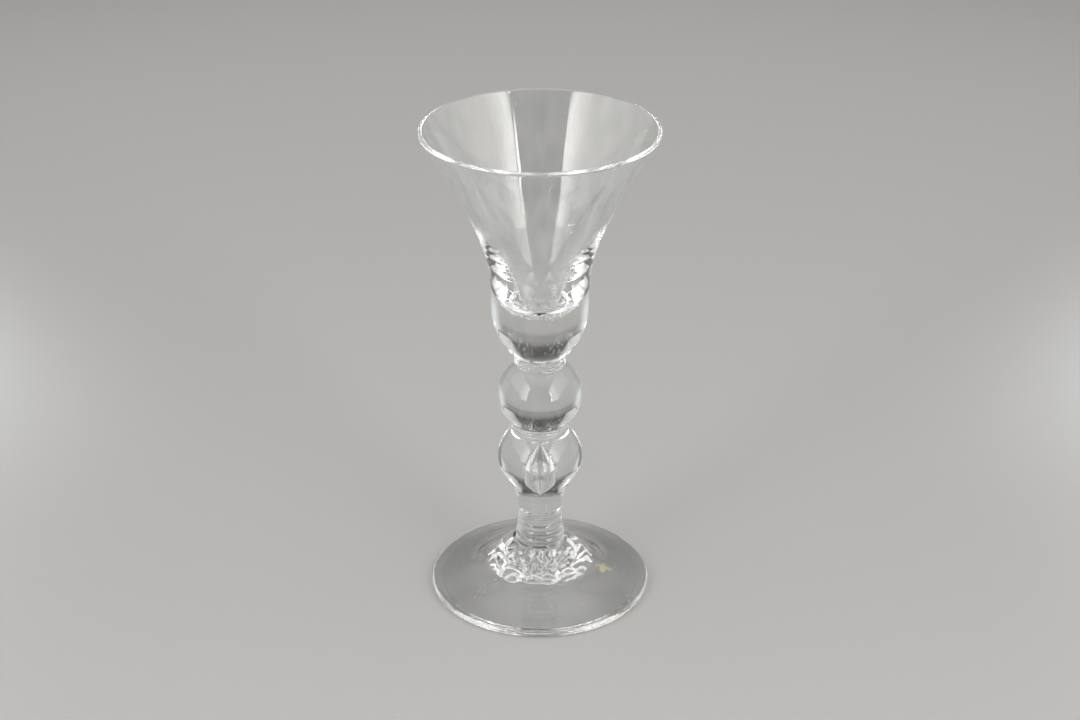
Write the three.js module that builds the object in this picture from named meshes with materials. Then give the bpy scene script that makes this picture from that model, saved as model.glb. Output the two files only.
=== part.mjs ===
// Baluster wine glass: seven gathers of clear glass fused end to end on one upright axis.
// Millimetres, +Z up. The origin is the middle of the plane that the foot rests on.
// Every piece is turned from its own profile and stands on the piece below it.
import * as THREE from "three";

const { degToRad } = THREE.MathUtils;

// Foot: a shallow cone with a rounded edge, a domed boss and a hollow underside
const FOOT_RADIUS = 36;
const FOOT_HEIGHT = 16; // resting plane to the joint under the stem
const FOOT_EDGE = 2.2; // thickness of the rounded edge
const REST_RING_WIDTH = 3; // flat ring that touches the table
const INSTEP_RADIUS = 18.6; // where the cone meets the domed boss
const INSTEP_HEIGHT = 7.4;
const INSTEP_PULL = 2.6; // how far the cone's slope runs on into the boss
const BOSS_STEP = 1; // the boss is this much wider than the stem that stands on it
const BOSS_SHOULDER_WIDTH = 4; // the boss rounds over this far out
const BOSS_SHOULDER_DROP = 1.6; // and this far down
const KICK_HEIGHT = 6.5; // rise of the hollow underside
const KICK_FLAT_RADIUS = 18; // inside this radius the hollow levels out
const PONTIL_RADIUS = 8.4; // scar left by the working rod, under the foot
const PONTIL_DROP = 0.8; // the scar stands this far below the hollow

// Baluster: an inverted baluster stem in two gathers, the upper one closing over a tear of air
const SHANK_END_RADIUS = 7.9; // on the foot
const SHANK_FLARE_HEIGHT = 10.3; // from the foot up to the slimmest level
const SHANK_WAIST_RADIUS = 7;
const SWELL_HEIGHT = 20.5; // from the slimmest level up to the widest
const SWELL_TAIL_PULL = 12.6; // how far the slim tail runs on upright
const SWELL_BELLY_PULL = 5.6; // how far the belly does
const BELLY_RADIUS = 13.8; // the joint between the two gathers is at this widest level
const SHOULDER_ROUND = 13.4; // half height of the ellipse that rounds the shoulder
const TEAR_MOUTH_RADIUS = 2.3; // where the tear crosses the joint
const TEAR_CROWN_HEIGHT = 2.9; // its point above the joint
const TEAR_RADIUS = 3.4; // its widest level lies below the joint
const TEAR_WIDEST_DEPTH = 2.8;
const TEAR_TAIL_DEPTH = 10.6; // its lower point
const TEAR_LEAN = degToRad(35); // lean of its side where it crosses the joint, from upright
const TEAR_TIP_PULL = 0.8; // how blunt the upper point is
const TEAR_SIDE_PULL = 0.9; // how far its sides run on straight
const TEAR_SHOULDER_PULL = 1.5; // how far its widest level runs on down
const TEAR_TAIL_PULL = 4.2; // length of the slim tail
const TEAR_TAIL_RADIUS = 1.7; // radius of the slim tail

// Collars: thin bands between the larger pieces, with rounded beads round them
const LOWER_COLLAR_RADIUS = 9;
const LOWER_COLLAR_HEIGHT = 3.6;
const LOWER_BEAD_COUNT = 2;
const UPPER_COLLAR_RADIUS = 7.9;
const UPPER_COLLAR_HEIGHT = 3.9;
const UPPER_BEAD_COUNT = 1;
const BEAD_DEPTH = 0.5;
const SEAT_STEP = 0.4; // the ball's seats are this much narrower than the collars, the others wider

// Ball knop: a slightly flattened ball, cut flat where the collars join it
const BALL_RADIUS = 13.55;
const BALL_HALF_HEIGHT = 12.75;

// Bowl: a flared bell on a thick solid base, with a rounded well inside
const BASE_RADIUS = 15.4;
const BASE_ROUND = 19.7; // half height of the ellipse that rounds the base
const WAIST_BAND = 3.6; // straight stretch above the base
const FLARE_HEIGHT = 55.2; // from the waist up to the top of the lip
const FLARE_WAIST_PULL = 11.7; // how far the waist runs on upright
const FLARE_LIP_PULL = 39; // how far the lip's lean runs down
const RIM_RADIUS = 36.9;
const LIP_THICKNESS = 1.5;
const LIP_LEAN = degToRad(30.7); // lean of the wall at the lip, from upright
const BOWL_FLOOR = 14.6; // solid glass under the well
const WELL_RADIUS = 9.6;
const WELL_DEPTH = 6.6;
const WELL_LEAN = degToRad(20); // lean of the inside where the well begins
const WELL_WALL_PULL = 13; // how far that lean runs up the inside
const WELL_DOWN_PULL = 3.6; // how far it runs down into the well
const WELL_FLAT_RADIUS = 5.4; // how wide the bottom levels out
const INNER_LIP_PULL = 24; // how far the lip's lean runs down the inside

// Fineness of the facets
const FACETS_ROUND = 48;
const LONG_STEPS = 12;
const CURVE_STEPS = 8;
const SMALL_STEPS = 6;
const SAME_POINT = 1e-6;

// Clear glass, with the tint and polish of one piece
function glass(color, roughness) {
  return new THREE.MeshStandardMaterial({
    color,
    roughness,
    metalness: 0,
    transparent: true,
    opacity: 0.35,
  });
}

function point(radius, height) {
  return new THREE.Vector2(radius, height);
}

// The point that lies a distance from a start, in a direction
function run(start, direction, distance) {
  return start.clone().addScaledVector(direction, distance);
}

function bezier(start, startHandle, endHandle, end, steps) {
  return new THREE.CubicBezierCurve(start, startHandle, endHandle, end).getPoints(steps);
}

// Part of an ellipse about a centre, between two angles that are measured from level outward
function ellipse(centre, across, up, startAngle, endAngle, steps) {
  const clockwise = endAngle < startAngle;
  const curve = new THREE.EllipseCurve(centre.x, centre.y, across, up, startAngle, endAngle, clockwise);
  return curve.getPoints(steps);
}

// Where a flat seat of a given radius cuts an ellipse: angle and height from its widest level
function seatAngle(across, seatRadius) {
  return Math.acos(seatRadius / across);
}

function seatHeight(across, up, seatRadius) {
  return up * Math.sin(seatAngle(across, seatRadius));
}

// Turns a profile about the upright axis and stands it at a height
function turned(name, profile, height, material) {
  const points = profile.flat();
  const outline = points.filter((p, i) => i === 0 || p.distanceTo(points[i - 1]) > SAME_POINT);
  const geometry = new THREE.LatheGeometry(outline, FACETS_ROUND).rotateX(Math.PI / 2);
  const mesh = new THREE.Mesh(geometry, material);
  mesh.name = name;
  mesh.position.z = height;
  return mesh;
}

function foot() {
  const restOuter = FOOT_RADIUS - FOOT_EDGE / 2;
  const restInner = restOuter - REST_RING_WIDTH;
  const bossRadius = SHANK_END_RADIUS + BOSS_STEP;
  const scarLevel = KICK_HEIGHT - PONTIL_DROP;
  const edgeTop = point(restOuter, FOOT_EDGE);
  const instep = point(INSTEP_RADIUS, INSTEP_HEIGHT);
  const slope = instep.clone().sub(edgeTop).normalize();
  const scar = [point(0, scarLevel), point(PONTIL_RADIUS, scarLevel)];
  const hollow = bezier(
    point(PONTIL_RADIUS + PONTIL_DROP, KICK_HEIGHT),
    point(KICK_FLAT_RADIUS, KICK_HEIGHT),
    point(KICK_FLAT_RADIUS, KICK_HEIGHT / 2),
    point(restInner, 0),
    CURVE_STEPS,
  );
  const edgeCentre = point(restOuter, FOOT_EDGE / 2);
  const edge = ellipse(edgeCentre, FOOT_EDGE / 2, FOOT_EDGE / 2, -Math.PI / 2, Math.PI / 2, SMALL_STEPS);
  const boss = bezier(
    instep,
    run(instep, slope, INSTEP_PULL),
    point(bossRadius + BOSS_SHOULDER_WIDTH, FOOT_HEIGHT - BOSS_SHOULDER_DROP),
    point(bossRadius, FOOT_HEIGHT),
    CURVE_STEPS,
  );
  const profile = [scar, hollow, edge, boss, point(0, FOOT_HEIGHT)];
  return turned("foot", profile, 0, glass(0xdfe6e6, 0.08));
}

// Direction of the tear's side where it crosses the joint, going down and out
function tearSide() {
  return point(Math.sin(TEAR_LEAN), -Math.cos(TEAR_LEAN));
}

// Lower gather of the baluster: tail, swelling, and the tear's hollow open at its top
function balusterShank(height) {
  const belly = SHANK_FLARE_HEIGHT + SWELL_HEIGHT;
  const flare = bezier(
    point(SHANK_END_RADIUS, 0),
    point(SHANK_END_RADIUS, SHANK_FLARE_HEIGHT / 2),
    point(SHANK_WAIST_RADIUS, SHANK_FLARE_HEIGHT / 2),
    point(SHANK_WAIST_RADIUS, SHANK_FLARE_HEIGHT),
    SMALL_STEPS,
  );
  const swell = bezier(
    point(SHANK_WAIST_RADIUS, SHANK_FLARE_HEIGHT),
    point(SHANK_WAIST_RADIUS, SHANK_FLARE_HEIGHT + SWELL_TAIL_PULL),
    point(BELLY_RADIUS, belly - SWELL_BELLY_PULL),
    point(BELLY_RADIUS, belly),
    CURVE_STEPS,
  );
  const mouth = point(TEAR_MOUTH_RADIUS, belly);
  const widest = point(TEAR_RADIUS, belly - TEAR_WIDEST_DEPTH);
  const tip = point(0, belly - TEAR_TAIL_DEPTH);
  const tearTop = bezier(
    mouth,
    run(mouth, tearSide(), TEAR_SIDE_PULL),
    point(TEAR_RADIUS, widest.y + TEAR_SIDE_PULL),
    widest,
    SMALL_STEPS,
  );
  const tearTail = bezier(
    widest,
    point(TEAR_RADIUS, widest.y - TEAR_SHOULDER_PULL),
    point(TEAR_TAIL_RADIUS, tip.y + TEAR_TAIL_PULL),
    tip,
    SMALL_STEPS,
  );
  const profile = [point(0, 0), flare, swell, tearTop, tearTail];
  return turned("baluster_shank", profile, height, glass(0xe3e8e8, 0.04));
}

// Upper gather of the baluster: the shoulder, with the tear's crown open at its bottom
function balusterHead(height) {
  const mouth = point(TEAR_MOUTH_RADIUS, 0);
  const crown = bezier(
    point(0, TEAR_CROWN_HEIGHT),
    point(TEAR_TIP_PULL, TEAR_CROWN_HEIGHT - TEAR_TIP_PULL),
    run(mouth, tearSide(), -TEAR_SIDE_PULL),
    mouth,
    SMALL_STEPS,
  );
  const topAngle = seatAngle(BELLY_RADIUS, headSeatRadius);
  const shoulder = ellipse(point(0, 0), BELLY_RADIUS, SHOULDER_ROUND, 0, topAngle, CURVE_STEPS);
  const profile = [crown, shoulder, point(0, headHeight)];
  return turned("baluster_head", profile, height, glass(0xe3e8e8, 0.04));
}

function collar(name, radius, collarHeight, beadCount, height) {
  const root = radius - BEAD_DEPTH;
  const halfBead = collarHeight / beadCount / 2;
  const profile = [point(0, 0)];
  for (let bead = 0; bead < beadCount; bead += 1) {
    const centre = point(root, (2 * bead + 1) * halfBead);
    profile.push(ellipse(centre, BEAD_DEPTH, halfBead, -Math.PI / 2, Math.PI / 2, SMALL_STEPS));
  }
  profile.push(point(0, collarHeight));
  return turned(name, profile, height, glass(0xe8ecec, 0.06));
}

function lowerCollar(height) {
  return collar("lower_collar", LOWER_COLLAR_RADIUS, LOWER_COLLAR_HEIGHT, LOWER_BEAD_COUNT, height);
}

function upperCollar(height) {
  return collar("upper_collar", UPPER_COLLAR_RADIUS, UPPER_COLLAR_HEIGHT, UPPER_BEAD_COUNT, height);
}

function ballKnop(height) {
  const lowAngle = -seatAngle(BALL_RADIUS, ballLowSeatRadius);
  const highAngle = seatAngle(BALL_RADIUS, ballHighSeatRadius);
  const centre = point(0, ballMiddle);
  const side = ellipse(centre, BALL_RADIUS, BALL_HALF_HEIGHT, lowAngle, highAngle, 2 * CURVE_STEPS);
  const profile = [point(0, 0), side, point(0, ballHeight)];
  return turned("ball_knop", profile, height, glass(0xe3e8e8, 0.03));
}

function bowl(height) {
  const baseTop = seatHeight(BASE_RADIUS, BASE_ROUND, bowlSeatRadius);
  const waist = baseTop + WAIST_BAND;
  const rim = waist + FLARE_HEIGHT;
  const lipRadius = LIP_THICKNESS / 2;
  const lipCentre = point(RIM_RADIUS - lipRadius, rim - lipRadius);
  const upLip = point(Math.sin(LIP_LEAN), Math.cos(LIP_LEAN));
  const outLip = point(upLip.y, -upLip.x);
  const lipOutside = run(lipCentre, outLip, lipRadius);
  const lipInside = run(lipCentre, outLip, -lipRadius);
  const wellEdge = point(WELL_RADIUS, BOWL_FLOOR + WELL_DEPTH);
  const upWell = point(Math.sin(WELL_LEAN), Math.cos(WELL_LEAN));
  const seat = seatAngle(BASE_RADIUS, bowlSeatRadius);
  const base = ellipse(point(0, baseTop), BASE_RADIUS, BASE_ROUND, -seat, 0, CURVE_STEPS);
  const flare = bezier(
    point(BASE_RADIUS, waist),
    point(BASE_RADIUS, waist + FLARE_WAIST_PULL),
    run(lipOutside, upLip, -FLARE_LIP_PULL),
    lipOutside,
    LONG_STEPS,
  );
  const lip = ellipse(lipCentre, lipRadius, lipRadius, -LIP_LEAN, Math.PI - LIP_LEAN, SMALL_STEPS);
  const inside = bezier(
    lipInside,
    run(lipInside, upLip, -INNER_LIP_PULL),
    run(wellEdge, upWell, WELL_WALL_PULL),
    wellEdge,
    LONG_STEPS,
  );
  const well = bezier(
    wellEdge,
    run(wellEdge, upWell, -WELL_DOWN_PULL),
    point(WELL_FLAT_RADIUS, BOWL_FLOOR),
    point(0, BOWL_FLOOR),
    CURVE_STEPS,
  );
  const profile = [point(0, 0), base, flare, lip, inside, well];
  return turned("bowl", profile, height, glass(0xe6ecec, 0.03));
}

// Seats that the collars' sizes set, and the heights of the pieces cut by them
const headSeatRadius = LOWER_COLLAR_RADIUS + SEAT_STEP;
const headHeight = seatHeight(BELLY_RADIUS, SHOULDER_ROUND, headSeatRadius);
const ballLowSeatRadius = LOWER_COLLAR_RADIUS - SEAT_STEP;
const ballHighSeatRadius = UPPER_COLLAR_RADIUS - SEAT_STEP;
const ballMiddle = seatHeight(BALL_RADIUS, BALL_HALF_HEIGHT, ballLowSeatRadius);
const ballHeight = ballMiddle + seatHeight(BALL_RADIUS, BALL_HALF_HEIGHT, ballHighSeatRadius);
const bowlSeatRadius = UPPER_COLLAR_RADIUS + SEAT_STEP;

// The stack, from the table up
const shankLevel = FOOT_HEIGHT;
const headLevel = shankLevel + SHANK_FLARE_HEIGHT + SWELL_HEIGHT;
const lowerCollarLevel = headLevel + headHeight;
const ballLevel = lowerCollarLevel + LOWER_COLLAR_HEIGHT;
const upperCollarLevel = ballLevel + ballHeight;
const bowlLevel = upperCollarLevel + UPPER_COLLAR_HEIGHT;

const wineGlass = new THREE.Group();
wineGlass.add(foot());
wineGlass.add(balusterShank(shankLevel));
wineGlass.add(balusterHead(headLevel));
wineGlass.add(lowerCollar(lowerCollarLevel));
wineGlass.add(ballKnop(ballLevel));
wineGlass.add(upperCollar(upperCollarLevel));
wineGlass.add(bowl(bowlLevel));

export default wineGlass;
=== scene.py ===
# %% [markdown]
# # A baluster wine glass
# The real glass is hand blown. Seven gathers of hot glass were fused end to end on one upright axis:
# a foot, a stem in two gathers that close over a tear of air, a collar, a ball, a second collar and a bowl.
# The CAD model holds those pieces at their real size, as coarse solids. This lesson makes their fine
# surfaces, the traces of hand work, the clear glass and the studio light, all in the CAD model's own frame.

# %% Load the frame
import math

import bpy
import numpy as np
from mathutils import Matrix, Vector, noise


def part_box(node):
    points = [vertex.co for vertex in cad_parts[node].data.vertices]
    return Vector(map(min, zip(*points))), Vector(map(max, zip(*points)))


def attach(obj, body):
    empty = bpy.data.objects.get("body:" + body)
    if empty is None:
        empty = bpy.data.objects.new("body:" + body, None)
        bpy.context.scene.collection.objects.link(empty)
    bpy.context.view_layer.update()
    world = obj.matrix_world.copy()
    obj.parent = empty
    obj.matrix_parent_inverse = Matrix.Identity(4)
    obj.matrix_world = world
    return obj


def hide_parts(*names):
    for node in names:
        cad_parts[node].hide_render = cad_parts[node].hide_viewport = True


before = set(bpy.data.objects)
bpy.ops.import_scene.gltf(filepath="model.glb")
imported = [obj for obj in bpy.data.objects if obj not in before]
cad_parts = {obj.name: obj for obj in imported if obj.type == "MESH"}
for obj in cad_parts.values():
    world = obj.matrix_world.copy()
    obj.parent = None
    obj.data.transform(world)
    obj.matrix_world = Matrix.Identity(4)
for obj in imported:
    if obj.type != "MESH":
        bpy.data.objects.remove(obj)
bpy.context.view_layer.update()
MM = 0.001

# %% [markdown]
# ## Reading a turned piece
# Every piece was turned on the axis, so one half outline describes it: a row of (radius, height) corners.
# The outline could be typed in again, but then the two models could drift apart. So it is read from the CAD
# mesh, by walking along one of its upright facet edges from the axis round to the axis again.

# %% Read half outlines from the CAD meshes
# From the table up
PIECES = ["foot", "baluster_shank", "baluster_head", "lower_collar", "ball_knop", "upper_collar", "bowl"]
SAME_PLACE = 1e-7  # corners closer than this, in metres, are one corner


def facet_edge(mesh):
    """The corners (radius, height) on one upright facet edge, each with those that it is joined to."""
    places = np.array([v.co for v in mesh.vertices])
    radius = np.hypot(places[:, 0], places[:, 1])
    ray = places[radius.argmax(), :2] / radius.max()
    across = abs(places[:, 0] * ray[1] - places[:, 1] * ray[0])
    along = places[:, :2] @ ray
    on_edge = (across < SAME_PLACE) & (along > -SAME_PLACE)
    digits = round(-math.log10(SAME_PLACE))
    corner = [(round(abs(a), digits), round(z, digits)) for a, z in zip(along, places[:, 2])]
    joined = {}
    for edge in mesh.edges:
        a, b = edge.vertices
        if on_edge[a] and on_edge[b] and corner[a] != corner[b]:
            joined.setdefault(corner[a], set()).add(corner[b])
            joined.setdefault(corner[b], set()).add(corner[a])
    return joined


def half_outline(node):
    """Corners of a turned CAD piece from axis to axis, walked with the glass on the left."""
    joined = facet_edge(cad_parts[node].data)
    walk = [min(corner for corner in joined if corner[0] < SAME_PLACE)]
    while True:
        onward = [corner for corner in joined[walk[-1]] if corner not in walk[-2:]]
        if not onward:
            break
        walk.append(onward[0])
    walk = np.array(walk)
    r, z = walk.T
    area = np.sum(r[:-1] * z[1:] - r[1:] * z[:-1])
    return walk if area > 0 else walk[::-1]


cad_outline = {node: half_outline(node) for node in PIECES}
for node, corners in cad_outline.items():
    low, high = corners[:, 1].min() / MM, corners[:, 1].max() / MM
    print(f"{node}: {len(corners)} corners, {low:.2f} to {high:.2f} mm high")

# %% [markdown]
# ## Finding the fused joints
# Two gathers that were pressed together hot have no surface left between them: light goes straight across.
# In the model they still meet in a flat disc. Each disc lies where one piece ends and the next begins, and
# reaches as far out as the narrower of the two. It could be cut away, but then the pieces would be open, so
# its faces get a material of their own later.

# %% Measure the joint discs
LEVEL_SLACK = 1e-6  # heights closer than this, in metres, are one level


def disc_radius(node, level):
    """How far out a piece has a flat face at a level."""
    r, z = cad_outline[node].T
    return r[abs(z - level) < LEVEL_SLACK].max()


joints = []
for below, above in zip(PIECES[:-1], PIECES[1:]):
    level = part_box(above)[0].z
    joints.append((level, min(disc_radius(below, level), disc_radius(above, level))))
print("joints, mm:", [(round(level / MM, 2), round(radius / MM, 2)) for level, radius in joints])

# %% [markdown]
# ## A smooth curve through the corners
# A flat facet shows at once in glass, and so does a kink in curvature: it makes a line in every reflection.
# A Bezier curve with automatic handles would run through the corners, but its curvature jumps at each one.
# A cubic spline keeps it even. The outline is split at its real edges first, so that those stay sharp, and
# at the ends of the ring that rests on the table, so that it stays flat.

# %% Cut an outline at its edges
REAL_EDGE = math.radians(38)  # a sharper turn than this is an edge
FACET_JUMP = 2.5  # where facets change length by more than this, one curve ends and another begins


def split_runs(corners):
    """Cuts an outline at its edges into runs that are smooth."""
    step = np.diff(corners, axis=0)
    length = np.hypot(step[:, 0], step[:, 1])
    heading = np.unwrap(np.arctan2(step[:, 1], step[:, 0]))
    turn = abs(np.diff(heading))
    jump = np.maximum(length[1:] / length[:-1], length[:-1] / length[1:])
    resting = np.maximum(corners[:-1, 1], corners[1:, 1]) < LEVEL_SLACK
    broken = (turn > REAL_EDGE) | (jump > FACET_JUMP) | (resting[1:] != resting[:-1])
    marks = [0, *(np.flatnonzero(broken) + 1), len(corners) - 1]
    return [corners[a:b + 1] for a, b in zip(marks[:-1], marks[1:])]


print("smooth runs:", {node: len(split_runs(corners)) for node, corners in cad_outline.items()})

# %% Draw a spline through a smooth run
FINE_STEP = 0.4 * MM
FEWEST_STEPS, MOST_STEPS = 3, 12  # from one corner to the next
SPLINE_CORNERS = 4  # the fewest corners that the spline can run through


def bending(t, values):
    """Second derivatives of the cubic spline through values at t, with no break at the end corners."""
    n = len(t)
    h = np.diff(t)
    slope = np.diff(values, axis=0) / h[:, None]
    matrix = np.zeros((n, n))
    right = np.zeros_like(values)
    for i in range(1, n - 1):
        matrix[i, i - 1:i + 2] = h[i - 1], 2 * (h[i - 1] + h[i]), h[i]
        right[i] = 6 * (slope[i] - slope[i - 1])
    matrix[0, :3] = -h[1], h[0] + h[1], -h[0]
    matrix[-1, -3:] = -h[-1], h[-2] + h[-1], -h[-2]
    return np.linalg.solve(matrix, right)


def smooth_run(corners, step):
    """Points along a smooth curve through a run of corners, about a step apart."""
    length = np.hypot(*np.diff(corners, axis=0).T)
    t = np.concatenate([[0], np.cumsum(length)])
    if len(corners) < SPLINE_CORNERS:
        count = max(FEWEST_STEPS, math.ceil(t[-1] / step))
        s = np.linspace(0, t[-1], count + 1)
        return np.stack([np.polyval(np.polyfit(t, v, len(t) - 1), s) for v in corners.T], 1)
    bend = bending(t, corners)
    points = [corners[0]]
    for i, h in enumerate(length):
        count = min(MOST_STEPS, max(FEWEST_STEPS, math.ceil(h / step)))
        for u in np.arange(1, count + 1) / count:
            line = (1 - u) * corners[i] + u * corners[i + 1]
            sag = ((1 - u) ** 3 - (1 - u)) * bend[i] + (u ** 3 - u) * bend[i + 1]
            points.append(line + sag * h * h / 6)
    return np.array(points)


longest = max(split_runs(cad_outline["bowl"]), key=len)
print(f"the bowl's longest run: {len(longest)} corners, {len(smooth_run(longest, FINE_STEP))} points")


# %% Join the runs into a fine outline
def joint_along(run):
    """The radius of the joint disc that a run lies in, or None."""
    if np.ptp(run[:, 1]) < LEVEL_SLACK:
        for level, radius in joints:
            if abs(run[0, 1] - level) < LEVEL_SLACK:
                return radius
    return None


def fine_outline(node, step=FINE_STEP):
    """A piece's outline with smooth curves, and for each of its steps whether it lies in a joint."""
    points = [cad_outline[node][0]]
    in_joint = []
    for run in split_runs(cad_outline[node]):
        disc = joint_along(run)
        if disc is None:
            fine = smooth_run(run, step)[1:]
            points.extend(fine)
            in_joint.extend([False] * len(fine))
            continue
        stops = [run[-1]]
        inner, outer = sorted(run[[0, -1], 0])
        if inner < disc < outer - LEVEL_SLACK:
            stops.insert(0, np.array([disc, run[0, 1]]))
        for stop in stops:
            in_joint.append(max(points[-1][0], stop[0]) < disc + LEVEL_SLACK)
            points.append(stop)
    return np.array(points), np.array(in_joint)


for node in PIECES:
    points, in_joint = fine_outline(node)
    print(f"{node}: {len(points)} points, {in_joint.sum()} steps in joints")

# %% [markdown]
# ## Turning the outline
# Blender's Screw modifier or Spin tool would turn an outline round an axis. Here the rings are made in code,
# because each ring can then be pushed in and out along its own normal by a small amount. That is how the
# traces of hand work get into the shape itself. The two ends of the outline lie on the axis, and each is a
# single vertex.

# %% Rings, and the faces between them
SEGMENTS = 240


def evenly_round(count):
    """Angles evenly spaced round the axis."""
    return np.arange(count) * 2 * math.pi / count


def ring_at(radius, height, angle):
    """Points of a ring about the axis."""
    return list(zip(radius * np.cos(angle), radius * np.sin(angle), height + 0 * angle))


def ring_faces(low, high):
    """Faces between two rings of vertex numbers, where a ring of one vertex is an end on the axis."""
    faces = []
    count = max(len(low), len(high))
    for k in range(count):
        n = (k + 1) % count
        if len(low) == 1:
            faces.append((low[0], high[n], high[k]))
        elif len(high) == 1:
            faces.append((low[k], low[n], high[0]))
        else:
            faces.append((low[k], low[n], high[n], high[k]))
    return faces


def skin(rings):
    """Vertices of rings of points, and for each step from ring to ring the faces between them."""
    verts, numbers = [], []
    for points in rings:
        numbers.append(range(len(verts), len(verts) + len(points)))
        verts.extend(points)
    return verts, [ring_faces(low, high) for low, high in zip(numbers[:-1], numbers[1:])]


angles = evenly_round(SEGMENTS)
rim_facet = 2 * math.pi * cad_outline["bowl"][:, 0].max() / SEGMENTS
print("rings of", SEGMENTS, "segments, so a rim facet is", round(rim_facet / MM, 2), "mm long")

# %% Turn an outline into a closed mesh
WORN = "worn"  # the name of the painted wear
CREASE = math.radians(40)  # a sharper edge than this isn't shaded smooth
GLASS_SLOT, JOINT_SLOT = 0, 1  # the first two materials of every piece


def outline_normals(points):
    """Unit normals of an outline, pointing out of the glass."""
    along = np.gradient(points, axis=0)
    normal = np.stack([along[:, 1], -along[:, 0]], 1)
    return normal / np.hypot(normal[:, 0], normal[:, 1])[:, None]


def mesh_object(name, verts, faces):
    """A new mesh object in the scene, shaded smooth."""
    mesh = bpy.data.meshes.new(name)
    mesh.from_pydata(verts, [], faces)
    mesh.polygons.foreach_set("use_smooth", [True] * len(faces))
    made = bpy.data.objects.new(name, mesh)
    bpy.context.scene.collection.objects.link(made)
    return made


def unworn(radius, height, normal):
    """No wear anywhere."""
    return 0


def turned_piece(name, node, relief, step=FINE_STEP, worn=unworn, shells=(), shell_slot=GLASS_SLOT):
    """A fine closed mesh of a CAD piece. relief(angle, radius, height, normal) gives how far to push it out,
    worn(radius, height, normal) how worn it is, and shells are the hollows inside it."""
    points, in_joint = fine_outline(node, step)
    rings, wear = [], []
    for (r, z), normal in zip(points, outline_normals(points)):
        push = relief(angles, r, z, normal)
        if r < SAME_PLACE:
            rings.append([(0, 0, z + push.mean() * normal[1])])
        else:
            rings.append(ring_at(r + push * normal[0], z + push * normal[1], angles))
        wear.extend([worn(r, z, normal)] * len(rings[-1]))
    verts, steps = skin(rings)
    faces, slots = [], []
    for made, fused in zip(steps, in_joint):
        faces.extend(made)
        slots.extend([JOINT_SLOT if fused else GLASS_SLOT] * len(made))
    for shell_verts, shell_faces in shells:
        first = len(verts)
        verts.extend(tuple(place) for place in shell_verts)
        wear.extend([0] * len(shell_verts))
        faces.extend(tuple(first + corner for corner in face) for face in shell_faces)
        slots.extend([shell_slot] * len(shell_faces))
    piece = mesh_object(name, verts, faces)
    piece.data.polygons.foreach_set("material_index", slots)
    piece.data.attributes.new(WORN, "FLOAT", "POINT").data.foreach_set("value", wear)
    piece.data.set_sharp_from_angle(angle=CREASE)
    return piece


print("the bowl will have", len(fine_outline("bowl")[0]), "rings")

# %% [markdown]
# ## Traces of hand work
# Blown glass is never quite round. Slow waves a few hundredths of a millimetre deep bend its reflections.
# Noise textures would do this in a bump map, but bump doesn't bend the light inside. So the waves are a sum
# of a few cosines with fixed starting points, and they die away at the joints so that the pieces still meet.

# %% Slow waves in the surface
WAVE_COUNT = 7
MOST_ROUND = 5  # a wave repeats at most this many times round a piece
SHORTEST_WAVE = 18 * MM  # measured up a piece
LEAST_SHARE = 0.4  # the depth of the weakest wave against the strongest
JOINT_CALM = 2.5 * MM  # the waves have grown to full depth this far from a joint
joint_levels = np.array([level for level, radius in joints])


def ease(x, start, stop):
    """0 before start, 1 after stop, and smooth between."""
    u = min(1, max(0, (x - start) / (stop - start)))
    return u * u * (3 - 2 * u)


def calm_at_joints(height, reach=JOINT_CALM):
    """0 on a joint, 1 a little way off."""
    return ease(abs(joint_levels - height).min(), 0, reach)


def slow_waves(seed, depth):
    """A relief of a few long waves round and along a piece."""
    rng = np.random.default_rng(seed)
    around = rng.integers(1, MOST_ROUND + 1, WAVE_COUNT)
    upward = rng.uniform(-1, 1, WAVE_COUNT) * 2 * math.pi / SHORTEST_WAVE
    start = rng.uniform(0, 2 * math.pi, WAVE_COUNT)
    share = rng.uniform(LEAST_SHARE, 1, WAVE_COUNT)
    share = share / share.sum()

    def relief(angle, radius, height, normal):
        waves = np.cos(np.outer(around, angle) + (upward * height + start)[:, None])
        return depth * calm_at_joints(height) * (share[:, None] * waves).sum(0)

    return relief


# %% [markdown]
# ## Node groups that the glass shares
# All pieces are one melt, so their materials share four effects: faint cords of uneven glass, fine scratches
# from use, single deeper scratches, and a tint that drifts a little. Each is a node group, built once. A
# group only puts out values and colours; the glass shader itself stays in each material, where its constants
# are set on its own sockets. A few helpers keep the node code short.


# %% Helpers for node trees
def fill(socket, value):
    """Links an input socket to another node's output, or sets it to a plain value."""
    if isinstance(value, bpy.types.NodeSocket):
        socket.id_data.links.new(value, socket)
    else:
        socket.default_value = value


def add_node(tree, kind, **settings):
    node = tree.nodes.new("ShaderNode" + kind)
    for key, value in settings.items():
        setattr(node, key, value)
    return node


def set_inputs(node, **values):
    """Fills a node's inputs by name, with an underscore for each space in the name."""
    for key, value in values.items():
        fill(node.inputs[key.replace("_", " ")], value)
    return node


def new_group(name, inputs, outputs):
    """An empty shader group with named sockets, and its two end nodes."""
    group = bpy.data.node_groups.new(name, "ShaderNodeTree")
    for socket, kind, default in inputs:
        made = group.interface.new_socket(name=socket, in_out="INPUT", socket_type=kind)
        made.default_value = default
    for socket, kind in outputs:
        group.interface.new_socket(name=socket, in_out="OUTPUT", socket_type=kind)
    return group, group.nodes.new("NodeGroupInput"), group.nodes.new("NodeGroupOutput")


FLOAT, COLOR, VECTOR = "NodeSocketFloat", "NodeSocketColor", "NodeSocketVector"
print("kinds of group sockets:", FLOAT, COLOR, VECTOR)

# %% Cords: streaks of uneven glass
ALONG_AXIS = 0.12  # along the axis the cords change this much more slowly than across it


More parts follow.
